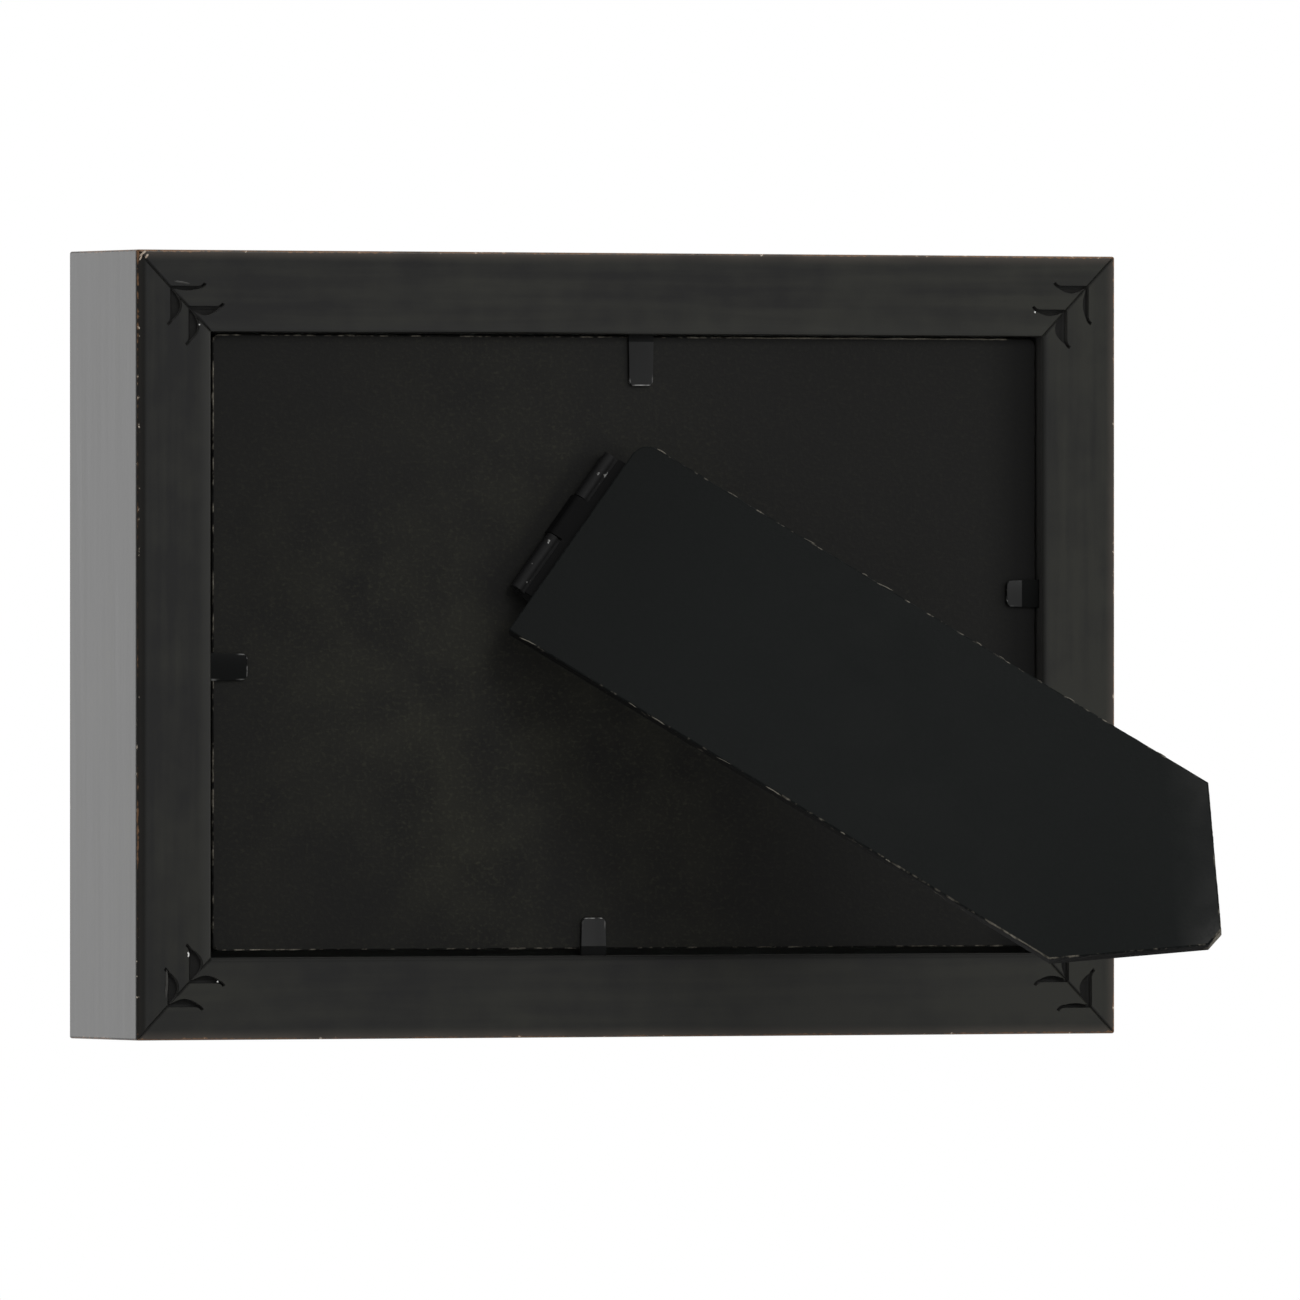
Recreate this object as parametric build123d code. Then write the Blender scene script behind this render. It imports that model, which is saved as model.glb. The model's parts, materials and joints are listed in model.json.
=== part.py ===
from build123d import *
import os
from math import cos, radians, sin, sqrt, tan

# Easel back photo frame for a 10 x 15 cm print, standing in landscape on its leg.
# Millimetres, +Z up. Everything is built upright about the middle of the frame, with the
# back of the moulding at Y = 0 and the back facing +Y, and is leaned back onto the leg at
# the end. Left and right are as seen from the front.

# Print, and the moulding around it
PRINT_WIDTH = 150.0
PRINT_HEIGHT = 100.0
PRINT_THICKNESS = 0.25
RABBET_PLAY = 1.5
WALL_WIDTH = 13.5
LIP_WIDTH = 4.0
FRAME_DEPTH = 27.0
OUTER_ARRIS = 0.4
INNER_ARRIS = 0.6
MITRE_GROOVE = 0.3

# Glass and backboard, stacked in the rabbet
GLASS_THICKNESS = 2.0
GLASS_PLAY = 1.5
BOARD_THICKNESS = 2.5
BOARD_PLAY = 0.75
BOARD_SHIFT = -0.3
BOARD_RAISE = 0.42
BOARD_CORNER = 1.3
BOARD_RECESS = 2.0

# V-nails, sunk into each mitre from behind: distance of each from the two outer sides, and
# how wide the wood is crushed beside the wing along X and beside the wing along Z
NAILS = {
    "bottom_left": ((4.6, 0.5, 2.0), (8.9, 0.8, 1.1)),
    "top_left": ((5.2, 0.8, 1.0), (9.2, 2.0, 0.8)),
    "top_right": ((6.2, 0.5, 1.8), (9.5, 1.25, 1.7)),
    "bottom_right": ((5.7, 1.8, 1.1), (9.6, 2.2, 1.0)),
}
NAIL_WING = 4.8
NAIL_CURL_RADIUS = 1.5
NAIL_CURL_ANGLE = 60.0
NAIL_THICKNESS = 0.5
NAIL_HEIGHT = 7.0
NAIL_SUNK = 0.9
NAIL_FIT = 0.03
CRUSH_LENGTH = 5.6
CRUSH_DEPTH = 0.8
CRUSH_PEAK = 0.6

# Flexible tabs that hold the board: place along each side, and reach past the rabbet wall
TABS = {"bottom": (6.1, 6.3), "left": (-8.6, 6.05), "top": (2.65, 8.5), "right": (-3.6, 7.1)}
TAB_ROOT_WIDTH = 4.6
TAB_TIP_WIDTH = 4.3
TAB_TIP_RADIUS = 0.9
TAB_THICKNESS = 0.45
TAB_SHANK = 8.0
TAB_BEND = 0.6
TAB_LIFT = 0.1
TAB_FIT = 0.05

# Hinge: its axis crosses the back at a slant, low over the board
HINGE_X = 13.1
HINGE_Z = 18.8
HINGE_TILT = 52.0
HINGE_LENGTH = 27.9
HINGE_SHIFT = -1.7
BARREL_RADIUS = 1.3
LEAF_THICKNESS = 0.6
LEAF_REACH = 13.0
LEAF_CORNER = 1.5
MIDDLE_KNUCKLE = 7.8
MIDDLE_PLACE = -1.05
KNUCKLE_GAP = 0.15
SWING_GAP = 0.3
STOP_GAP = 0.05
HEEL_WIDTH = 0.85
PIN_FIT = 0.05
PIN_INSET = 0.6

# Rivets of the two hinge leaves
RIVET_SPACING = 20.0
RIVET_PLACE = 8.0
RIVET_RADIUS = 1.0
RIVET_HEAD_RADIUS = 1.9
RIVET_HEAD_HEIGHT = 0.5
RIVET_TAIL_RADIUS = 1.7
RIVET_TAIL_DEPTH = 0.8
RIVET_FIT = 0.05
LEG_RIVET_DEPTH = 1.7

# Leg, and how far the frame leans on it in landscape and in portrait
LEG_OPEN = 34.8
LEG_WIDTH = 39.9
LEG_THICKNESS = 2.5
LEG_START = 3.65
LEG_TOP_CORNER = 3.0
LEG_TIP_CUT = 2.4
LANDSCAPE_LEAN = 11.1
PORTRAIT_LEAN = 13.85

# Sizes that follow from those above
RABBET_WIDTH = PRINT_WIDTH + 2 * RABBET_PLAY
RABBET_HEIGHT = PRINT_HEIGHT + 2 * RABBET_PLAY
RABBET_DEPTH = BOARD_RECESS + BOARD_THICKNESS + PRINT_THICKNESS + GLASS_THICKNESS
FRAME_WIDTH = RABBET_WIDTH + 2 * WALL_WIDTH
FRAME_HEIGHT = RABBET_HEIGHT + 2 * WALL_WIDTH
RAIL_WIDTH = WALL_WIDTH + LIP_WIDTH
BOARD_BACK = -BOARD_RECESS
PRINT_BACK = BOARD_BACK - BOARD_THICKNESS
GLASS_BACK = PRINT_BACK - PRINT_THICKNESS
TAB_AXIS_Y = BOARD_BACK + TAB_LIFT + TAB_THICKNESS / 2
TAB_AXIS_Z = WALL_WIDTH + TAB_BEND
PIN_BORE = BARREL_RADIUS - LEAF_THICKNESS
AXIS_LIFT = BARREL_RADIUS + SWING_GAP
AXIS_Y = BOARD_BACK + AXIS_LIFT
MIDDLE_X = HINGE_SHIFT + MIDDLE_PLACE
RIVET_XS = (HINGE_SHIFT - RIVET_SPACING / 2, HINGE_SHIFT + RIVET_SPACING / 2)
PAST_FACE = 1.0

# Turn about Y that brings the bottom side, or the corner at its left, to each other one
SIDES = {name: 90 * turns for turns, name in enumerate(("bottom", "left", "top", "right"))}
CORNERS = {name: 90 * turns for turns, name in enumerate(NAILS)}

# Back of the moulding, drawn on with X and Z, with depth going into the wood
BACK = Plane(origin=(0, 0, 0), x_dir=(1, 0, 0), z_dir=(0, -1, 0))
OVER_BACK = BACK.offset(-PAST_FACE)

# Mitre at a corner, half-way between the two rails
MITRE = Plane(origin=(0, 0, 0), z_dir=(1, 0, -1))

# Hinge axis along X, with Y from it towards the leg's foot and Z away from the board
TILT = radians(HINGE_TILT)
HINGE = Plane(origin=(HINGE_X, AXIS_Y, HINGE_Z), x_dir=(cos(TILT), 0, -sin(TILT)), z_dir=(0, 1, 0)).location
SWUNG = Rot(LEG_OPEN, 0, 0)


def is_level(angle):
    """Whether a side at this turn runs along X, as the top and bottom do."""
    return angle % 180 == 0


def at_side(angle):
    """Middle of one outer side, with X along it and Z towards the middle of the frame."""
    half = (FRAME_HEIGHT if is_level(angle) else FRAME_WIDTH) / 2
    return Rot(0, angle, 0) * Pos(0, 0, -half)


def at_corner(angle):
    """One outer corner, with X and Z along the two rails that meet there."""
    along, across = (FRAME_WIDTH, FRAME_HEIGHT) if is_level(angle) else (FRAME_HEIGHT, FRAME_WIDTH)
    return Rot(0, angle, 0) * Pos(-along / 2, 0, -across / 2)


def slab(width, height, thickness, back):
    """Upright plate about the middle of the frame, with its back face at Y = back."""
    return Pos(0, back - thickness / 2, 0) * Box(width, thickness, height)


def moulding():
    """The whole glued-up moulding: a block with eased arrises, the rabbet and the sight opening."""
    block = slab(FRAME_WIDTH, FRAME_HEIGHT, FRAME_DEPTH, 0)
    block = fillet(block.edges(), OUTER_ARRIS)
    rabbet = slab(RABBET_WIDTH, RABBET_HEIGHT, RABBET_DEPTH + PAST_FACE, PAST_FACE)
    sight_width = RABBET_WIDTH - 2 * LIP_WIDTH
    sight_height = RABBET_HEIGHT - 2 * LIP_WIDTH
    sight = slab(sight_width, sight_height, FRAME_DEPTH + 2 * PAST_FACE, PAST_FACE)
    ring = block - rabbet - sight
    reach = ((RABBET_WIDTH + PAST_FACE) / 2, (RABBET_HEIGHT + PAST_FACE) / 2)
    inner = [e for e in ring.edges() if abs(e.center().X) < reach[0] and abs(e.center().Z) < reach[1]]
    mouths = [e for e in inner if e.center().Y > -OUTER_ARRIS or e.center().Y < OUTER_ARRIS - FRAME_DEPTH]
    ring = fillet(mouths, INNER_ARRIS)
    groove_side = MITRE_GROOVE * sqrt(2)
    groove_length = 2 * sqrt(2) * (RAIL_WIDTH + PAST_FACE)
    groove = Rot(0, -45, 0) * Rot(45, 0, 0) * Box(groove_length, groove_side, groove_side)
    for angle in CORNERS.values():
        ring = ring - at_corner(angle) * groove - at_corner(angle) * Pos(0, -FRAME_DEPTH, 0) * groove
    return ring


def nail_wing(thickness, top, bottom):
    """Wing of a V-nail along +X from the bend, with its tip curled to the outside of the V."""
    height = top - bottom
    middle = (top + bottom) / 2
    blade_length = NAIL_WING + thickness / 2
    blade = Pos(NAIL_WING - blade_length / 2, middle, 0) * Box(blade_length, height, thickness)
    end = Plane(origin=(NAIL_WING, middle, 0), x_dir=(0, 1, 0), z_dir=(1, 0, 0))
    curl_axis = Axis((NAIL_WING, 0, -NAIL_CURL_RADIUS), (0, 1, 0))
    curl = revolve(end * Rectangle(height, thickness), curl_axis, NAIL_CURL_ANGLE)
    return blade + curl


def both_wings(wing):
    """A wing along +X joined to its twin along +Z."""
    return wing + mirror(wing, MITRE)


def v_nail():
    """V-nail with its bend at the origin, sunk below the back of the moulding."""
    return both_wings(nail_wing(NAIL_THICKNESS, -NAIL_SUNK, -NAIL_SUNK - NAIL_HEIGHT))


def crushed_hollow(width):
    """Leaf-shaped hollow along the inside of a wing along +X."""
    edge = Line((0, 0), (CRUSH_LENGTH, 0))
    bulge = Spline((CRUSH_LENGTH, 0), (CRUSH_PEAK * CRUSH_LENGTH, width), (0, 0))
    return extrude(OVER_BACK * make_face([edge, bulge]), PAST_FACE + CRUSH_DEPTH)


def v_nail_pocket(beside_x, beside_z):
    """Slot that a V-nail cuts, with a crushed hollow of each width beside its wings."""
    slot = nail_wing(NAIL_THICKNESS + 2 * NAIL_FIT, PAST_FACE, -NAIL_SUNK - NAIL_HEIGHT - NAIL_FIT)
    return both_wings(slot) + crushed_hollow(beside_x) + mirror(crushed_hollow(beside_z), MITRE)


def at_nail(corner, place):
    """Bend of a V-nail on the mitre of one corner."""
    return at_corner(CORNERS[corner]) * Pos(place, 0, place)


def tab_slot(name):
    """Slot in the rabbet wall that a tab's shank is fired into."""
    place = TABS[name][0]
    length = TAB_SHANK + TAB_FIT + PAST_FACE
    middle = WALL_WIDTH + PAST_FACE - length / 2
    slot = Box(TAB_ROOT_WIDTH + 2 * TAB_FIT, TAB_THICKNESS + 2 * TAB_FIT, length)
    return at_side(SIDES[name]) * Pos(place, TAB_AXIS_Y, middle) * slot


def tab_shank(name):
    """Fixed half of a tab, from inside the rail to just short of the bend."""
    place = TABS[name][0]
    end = TAB_AXIS_Z - TAB_THICKNESS / 2 - TAB_FIT
    start = WALL_WIDTH - TAB_SHANK
    shank = Box(TAB_ROOT_WIDTH, TAB_THICKNESS, end - start)
    return at_side(SIDES[name]) * Pos(place, TAB_AXIS_Y, (start + end) / 2) * shank


def tab_blade(name):
    """Free half of a tab, rounded at the bend, tapering to a tip with round corners."""
    place, reach = TABS[name]
    length = reach - TAB_BEND
    root = TAB_ROOT_WIDTH / 2
    tip = TAB_TIP_WIDTH / 2
    outline = make_face(Polyline((-root, 0), (root, 0), (tip, length), (-tip, length), close=True))
    outline = fillet(outline.vertices().group_by(Axis.Y)[-1], TAB_TIP_RADIUS)
    blade = extrude(BACK.offset(-TAB_THICKNESS / 2) * outline, TAB_THICKNESS)
    bend = Rot(0, 90, 0) * Cylinder(TAB_THICKNESS / 2, TAB_ROOT_WIDTH)
    return at_side(SIDES[name]) * Pos(place, TAB_AXIS_Y, TAB_AXIS_Z) * (blade + bend)


def rail(ring, name):
    """One side of the moulding, cut off at its two mitres."""
    angle = SIDES[name]
    half = (FRAME_WIDTH if is_level(angle) else FRAME_HEIGHT) / 2
    outer = half + PAST_FACE
    inside = RAIL_WIDTH + PAST_FACE
    inner = half - inside
    corners = [(-outer, -PAST_FACE), (outer, -PAST_FACE), (inner, inside), (-inner, inside)]
    outline = make_face(Polyline(*corners, close=True))
    wedge = extrude(OVER_BACK * outline, FRAME_DEPTH + 2 * PAST_FACE)
    return ring & (at_side(angle) * wedge)


def rivet(grip, tail_radius, tail_depth, fit=0.0):
    """Domed rivet about Z with its head above Z = 0 and its tail flared at the end of its grip."""
    radius = RIVET_RADIUS + fit
    dome = TangentArc((0, RIVET_HEAD_HEIGHT), (RIVET_HEAD_RADIUS, 0), tangent=(1, 0))
    shank = Polyline((RIVET_HEAD_RADIUS, 0), (radius, 0), (radius, tail_depth - grip))
    tail = Polyline((radius, tail_depth - grip), (tail_radius + fit, -grip), (0, -grip))
    middle = Line((0, -grip), (0, RIVET_HEAD_HEIGHT))
    return revolve(Plane.XZ * make_face([dome, shank, tail, middle]), Axis.Z)


def board_rivets(fit=0.0):
    """Rivets through the board leaf and the board, with tails countersunk into the board's front."""
    grip = LEAF_THICKNESS + BOARD_THICKNESS + fit - RIVET_FIT
    one = rivet(grip, RIVET_TAIL_RADIUS, RIVET_TAIL_DEPTH, fit)
    return [HINGE * Pos(x, RIVET_PLACE, LEAF_THICKNESS - AXIS_LIFT) * one for x in RIVET_XS]


def leg_rivets(fit=0.0):
    """Rivets through the leg leaf that end inside the leg, under its outer face."""
    one = rivet(LEAF_THICKNESS + LEG_RIVET_DEPTH + fit, RIVET_RADIUS, RIVET_TAIL_DEPTH, fit)
    return [HINGE * SWUNG * Pos(x, RIVET_PLACE, PIN_BORE) * Rot(180, 0, 0) * one for x in RIVET_XS]


def along_axis(radius, start, end):
    """Round bar along the hinge axis."""
    return Pos((start + end) / 2, 0, 0) * Rot(0, 90, 0) * Cylinder(radius, end - start)


def knuckle(start, end):
    """Rolled knuckle of a leaf, solid until the pin's bore is cut."""
    return along_axis(BARREL_RADIUS, start, end)


def pin_bore():
    """Bore through every knuckle."""
    half = HINGE_LENGTH / 2 + PAST_FACE
    return along_axis(PIN_BORE, HINGE_SHIFT - half, HINGE_SHIFT + half)


def leaf_plate(bottom):
    """Flat of a hinge leaf, clear of the barrel, with its two far corners rounded."""
    start = BARREL_RADIUS + SWING_GAP
    outline = Pos(HINGE_SHIFT, (start + LEAF_REACH) / 2) * Rectangle(HINGE_LENGTH, LEAF_REACH - start)
    outline = fillet(outline.vertices().group_by(Axis.Y)[-1], LEAF_CORNER)
    return extrude(Plane.XY.offset(bottom) * outline, LEAF_THICKNESS)


def leaf_root(start, end, bottom):
    """Strip that joins a leaf's flat to one of its knuckles."""
    reach = BARREL_RADIUS + SWING_GAP
    strip = Box(end - start, reach, LEAF_THICKNESS)
    return Pos((start + end) / 2, reach / 2, bottom + LEAF_THICKNESS / 2) * strip


def hinge_board_leaf():
    """Leaf on the board, with the two outer knuckles."""
    ends = (HINGE_SHIFT - HINGE_LENGTH / 2, HINGE_SHIFT + HINGE_LENGTH / 2)
    inner = MIDDLE_KNUCKLE / 2 + KNUCKLE_GAP
    leaf = leaf_plate(-AXIS_LIFT)
    for start, end in ((ends[0], MIDDLE_X - inner), (MIDDLE_X + inner, ends[1])):
        leaf = leaf + leaf_root(start, end, -AXIS_LIFT) + knuckle(start, end)
    leaf = HINGE * (leaf - pin_bore())
    for hole in board_rivets(RIVET_FIT):
        leaf = leaf - hole
    return leaf


def hinge_leg_leaf():
    """Leaf on the leg, with the middle knuckle and the heel that lands on the board at full opening."""
    start = MIDDLE_X - MIDDLE_KNUCKLE / 2
    end = MIDDLE_X + MIDDLE_KNUCKLE / 2
    flat = leaf_plate(PIN_BORE) + leaf_root(start, end, PIN_BORE) + knuckle(start, end)
    depth = AXIS_LIFT - STOP_GAP
    heel = Pos(MIDDLE_X, -HEEL_WIDTH, -depth / 2) * Box(MIDDLE_KNUCKLE, HEEL_WIDTH, depth)
    leaf = HINGE * (SWUNG * flat + heel - pin_bore())
    for hole in leg_rivets(RIVET_FIT):
        leaf = leaf - hole
    return leaf


def hinge_pin():
    """Pin through the three knuckles, set in from both ends of the barrel."""
    half = HINGE_LENGTH / 2 - PIN_INSET
    return HINGE * along_axis(PIN_BORE - PIN_FIT, HINGE_SHIFT - half, HINGE_SHIFT + half)


def foot_line(height, along, down, lean):
    """Reach of the leg's foot line at X = 0, and its slope, where the inner face meets the table.

    height is the hinge's distance from the side that the frame stands on, along is how much that
    grows with X, and down is the part of the leg's direction that points to that side.
    """
    lean = radians(lean)
    swing = radians(LEG_OPEN)
    rounded_off = OUTER_ARRIS * (sin(lean) + cos(lean) - 1) / cos(lean)
    rise = height - rounded_off + BARREL_RADIUS * sin(swing) * down
    rise = rise - tan(lean) * (AXIS_Y + BARREL_RADIUS * cos(swing))
    fall = tan(lean) * sin(swing) + cos(swing) * down
    return rise / fall, along / fall


def easel_leg():
    """Leg with square-cut edges, one foot edge for landscape, one for portrait, and a blunted tip."""
    half = LEG_WIDTH / 2
    land, land_slope = foot_line(HINGE_Z + FRAME_HEIGHT / 2, -sin(TILT), cos(TILT), LANDSCAPE_LEAN)
    port, port_slope = foot_line(HINGE_X + FRAME_WIDTH / 2, cos(TILT), sin(TILT), PORTRAIT_LEAN)
    tip_x = (port - land) / (land_slope - port_slope)
    tip = (tip_x, land + land_slope * tip_x)
    land_end = (half, land + land_slope * half)
    port_end = (-half, port - port_slope * half)
    edges = Polyline((-half, LEG_START), (half, LEG_START), land_end, tip, port_end, close=True)
    outline = make_face(edges)
    outline = fillet(outline.vertices().sort_by_distance((-half, LEG_START))[0], LEG_TOP_CORNER)
    outline = chamfer(outline.vertices().sort_by_distance(tip)[0], LEG_TIP_CUT)
    leg = HINGE * SWUNG * extrude(Plane.XY.offset(BARREL_RADIUS) * outline, LEG_THICKNESS)
    for hole in leg_rivets(RIVET_FIT):
        leg = leg - hole
    return leg


def backboard():
    """Hardboard back with rounded corners and the countersunk holes of the hinge's rivets."""
    outline = RectangleRounded(RABBET_WIDTH - 2 * BOARD_PLAY, RABBET_HEIGHT - 2 * BOARD_PLAY, BOARD_CORNER)
    outline = Pos(BOARD_SHIFT, BOARD_RAISE) * outline
    board = extrude(BACK.offset(BOARD_RECESS) * outline, BOARD_THICKNESS)
    for hole in board_rivets(RIVET_FIT):
        board = board - hole
    return board


ring = moulding()
for corner, nails in NAILS.items():
    for place, beside_x, beside_z in nails:
        ring = ring - at_nail(corner, place) * v_nail_pocket(beside_x, beside_z)
for side in SIDES:
    ring = ring - tab_slot(side)

nodes = {}
for side in SIDES:
    nodes[f"rail_{side}"] = rail(ring, side)
    nodes[f"tab_{side}_shank"] = tab_shank(side)
    nodes[f"tab_{side}_blade"] = tab_blade(side)
for corner, nails in NAILS.items():
    pair = [at_nail(corner, nail[0]) * v_nail() for nail in nails]
    nodes[f"v_nails_{corner}"] = Compound(children=pair)
glass_width = RABBET_WIDTH - 2 * GLASS_PLAY
glass_height = RABBET_HEIGHT - 2 * GLASS_PLAY
nodes["glass_pane"] = slab(glass_width, glass_height, GLASS_THICKNESS, GLASS_BACK)
nodes["print_sheet"] = slab(PRINT_WIDTH, PRINT_HEIGHT, PRINT_THICKNESS, PRINT_BACK)
nodes["backboard"] = backboard()
nodes["hinge_board_leaf"] = hinge_board_leaf()
nodes["hinge_leg_leaf"] = hinge_leg_leaf()
nodes["hinge_pin"] = hinge_pin()
nodes["board_rivets"] = Compound(children=board_rivets())
nodes["leg_rivets"] = Compound(children=leg_rivets())
nodes["easel_leg"] = easel_leg()

# Lean the frame back until the rear bottom arris and the leg's foot stand on Z = 0,
# with the origin under the middle of its box
leaned = Rot(-LANDSCAPE_LEAN, 0, 0)
boxes = [(leaned * shape).bounding_box() for shape in nodes.values()]
front = min(box.min.Y for box in boxes)
rear = max(box.max.Y for box in boxes)
lowest = min(box.min.Z for box in boxes)
standing = Pos(0, -(front + rear) / 2, -lowest) * leaned

os.makedirs("parts", exist_ok=True)
for name, shape in nodes.items():
    export_step(standing * shape, f"parts/{name}.step")

# Joint axes in metres, for whoever poses the frame
joint_frames = {"leg_fold": HINGE}
for side, turn in SIDES.items():
    bend = Pos(TABS[side][0], TAB_AXIS_Y, TAB_AXIS_Z) * Rot(0, 0, 180)
    joint_frames[f"tab_{side}_bend"] = at_side(turn) * bend
for name, place in joint_frames.items():
    at = (standing * place).position / 1000
    axis = Plane(standing * place).x_dir
    print(name, "at", [round(v, 6) for v in at], "axis", [round(v, 6) for v in axis])
base = (standing * Pos(0, -FRAME_DEPTH / 2, -FRAME_HEIGHT / 2)).position / 1000
side = (standing * Pos(-FRAME_WIDTH / 2, -FRAME_DEPTH / 2, 0)).position / 1000
print("base face", [round(v, 6) for v in base], "side face", [round(v, 6) for v in side])
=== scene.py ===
import json
from math import atan2, cos, pi, radians, sin
from random import Random

import bmesh
import bpy
from mathutils import Matrix, Vector


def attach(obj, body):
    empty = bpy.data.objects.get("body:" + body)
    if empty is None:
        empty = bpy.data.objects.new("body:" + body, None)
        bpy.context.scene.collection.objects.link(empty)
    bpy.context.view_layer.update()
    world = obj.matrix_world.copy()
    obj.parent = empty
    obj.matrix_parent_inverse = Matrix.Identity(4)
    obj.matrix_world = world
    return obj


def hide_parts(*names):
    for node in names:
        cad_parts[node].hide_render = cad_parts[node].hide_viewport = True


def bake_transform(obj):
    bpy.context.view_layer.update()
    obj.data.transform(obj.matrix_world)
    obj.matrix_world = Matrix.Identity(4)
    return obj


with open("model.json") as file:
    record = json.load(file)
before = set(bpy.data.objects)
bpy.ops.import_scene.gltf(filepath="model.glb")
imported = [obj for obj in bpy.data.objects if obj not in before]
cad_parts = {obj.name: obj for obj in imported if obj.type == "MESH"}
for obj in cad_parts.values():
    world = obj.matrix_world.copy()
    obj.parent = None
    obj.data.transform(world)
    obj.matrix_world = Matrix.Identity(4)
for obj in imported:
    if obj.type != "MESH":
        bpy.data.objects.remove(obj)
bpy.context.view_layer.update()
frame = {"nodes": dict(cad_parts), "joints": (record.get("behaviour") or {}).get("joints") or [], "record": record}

# Rails: four lengths of planed softwood, mitred and sprayed satin black all round, with the
# rabbet for the glass and the board cut into their backs. The frame leans on its leg, so every
# pattern is laid out on it as it was made, upright: X across, Y out of the back and Z up.
FRAME_WIDTH = 0.180
FRAME_HEIGHT = 0.130
FRAME_DEPTH = 0.027
RABBET_WALL = 0.0135
RABBET_DEPTH = 0.00675
INNER_ARRIS = 0.0006
HAIR = 0.0001
PAINT_THIN = (0.0098, 0.0100, 0.0068, 1)
PAINT_THICK = (0.0004, 0.0005, 0.0002, 1)
RUBBED_PAINT = (0.044, 0.036, 0.029, 1)
INNER_HIGHLIGHT_PAINT = (0.0165, 0.0165, 0.0145, 1)
RABBET_PAINT = (0.029, 0.0286, 0.0267, 1)
RABBET_FLOOR = (0.026, 0.026, 0.024, 1)
BARE_WOOD = (0.14, 0.075, 0.038, 1)
CHIPPED_WOOD = (0.52, 0.46, 0.38, 1)
CRUSHED_WOOD = (0.0060, 0.0060, 0.0057, 1)
CRUSHED_WOOD_PALE = (0.0125, 0.0122, 0.0115, 1)
TORN_WOOD = (0.050, 0.049, 0.046, 1)
PLAIN_GLOSS = 0.5
mounts = {mount["name"]: mount for mount in frame["record"]["mounts"]}
joints = {joint["name"]: joint for joint in frame["joints"]}
frame_up = Vector(joints["tab_left_bend"]["axis"])
back_out = frame_up.cross(Vector((1, 0, 0)))
lean = atan2(frame_up.y, frame_up.z)
side_middle = Vector(mounts["portrait_face"]["pos_m"])
back_middle = Vector((0, side_middle.y, side_middle.z)) + back_out * FRAME_DEPTH / 2
upright = Matrix.Translation(back_middle) @ Matrix.Rotation(-lean, 4, "X")


def add_node(tree, kind, inputs=(), **settings):
    """A shader node with its settings, its inputs given as values or as sockets to link."""
    node = tree.nodes.new(kind)
    for name, value in settings.items():
        setattr(node, name, value)
    for key, value in dict(inputs).items():
        if isinstance(value, bpy.types.NodeSocket):
            tree.links.new(value, node.inputs[key])
        else:
            node.inputs[key].default_value = value
    return node


def new_finish(name):
    """A procedural finish: its node tree, its shader and the upright frame's coordinates in metres."""
    finish = bpy.data.materials.new(name)
    finish.use_nodes = True
    tree = finish.node_tree
    shader = tree.nodes["Principled BSDF"]
    place = add_node(tree, "ShaderNodeTexCoord").outputs["Object"]
    inputs = {"Vector": place, "Location": back_middle, "Rotation": (-lean, 0, 0)}
    place = add_node(tree, "ShaderNodeMapping", inputs, vector_type="TEXTURE").outputs["Vector"]
    return finish, tree, shader, place


def axes(tree, place):
    """The three coordinates of a place, X, Y and Z."""
    return add_node(tree, "ShaderNodeSeparateXYZ", {0: place}).outputs


def calc(tree, operation, *terms):
    """The result of a sum on values or sockets."""
    return add_node(tree, "ShaderNodeMath", dict(enumerate(terms)), operation=operation).outputs[0]


def vector_calc(tree, operation, first, second, result="Vector"):
    """The result of a sum on two vectors, which is a Vector or a Value."""
    inputs = {0: first, 1: second}
    return add_node(tree, "ShaderNodeVectorMath", inputs, operation=operation).outputs[result]


def between(tree, value, start, end):
    """How far a value has gone from start to end, from 0 to 1."""
    inputs = {"Value": value, "From Min": start, "From Max": end}
    return add_node(tree, "ShaderNodeMapRange", inputs).outputs["Result"]


def nearing(tree, value, edge, band):
    """How far a value has crossed a band, from 0 to 1, given as two distances short of an edge."""
    return between(tree, value, edge - band[0], edge - band[1])


def mottle(tree, place, per_metre, detail=2.0, drawn_out=(1, 1, 1)):
    """Cloudy spots, so many to a metre, drawn out along an axis where that factor is small."""
    spots = vector_calc(tree, "MULTIPLY", place, drawn_out)
    inputs = {"Vector": spots, "Scale": per_metre, "Detail": detail}
    return add_node(tree, "ShaderNodeTexNoise", inputs).outputs[0]


def tinted(tree, share, under, over):
    """One colour laid over another by a share."""
    return add_node(tree, "ShaderNodeMix", {0: share, 6: under, 7: over}, data_type="RGBA").outputs[2]


def dress(tree, shader, colour, roughness, height, relief, gloss=PLAIN_GLOSS):
    """Links a finish's colour, its roughness and the height of its relief in metres, and sets its gloss."""
    tree.links.new(colour, shader.inputs["Base Color"])
    tree.links.new(roughness, shader.inputs["Roughness"])
    bump = add_node(tree, "ShaderNodeBump", {"Height": height, "Distance": relief})
    tree.links.new(bump.outputs["Normal"], shader.inputs["Normal"])
    shader.inputs["Specular IOR Level"].default_value = gloss


def coat(node_name, finish):
    """Gives a CAD node its finish."""
    slots = frame["nodes"][node_name].data.materials
    slots.clear()
    slots.append(finish)


# The paint's patterns, in spots to a metre, and how far each of them thins it; the lightening towards -X and
# towards the bottom is painted light.
GRAIN_STREAKS = 420
GRAIN_DRAWN_OUT = 0.05
PAINT_CLOUDS = 45
PAINT_BLOTS = 190
PAINT_PITS = 1100
THINNED_BY_STREAKS = 0.4
THINNED_BY_BLOTS = 0.25
THINNED_BY_CLOUDS = 0.35
PAINTED_LIGHT_ACROSS = -0.7
PAINTED_LIGHT_UP = -0.5
THIN_RANGE = (0.4, 0.6)
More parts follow.
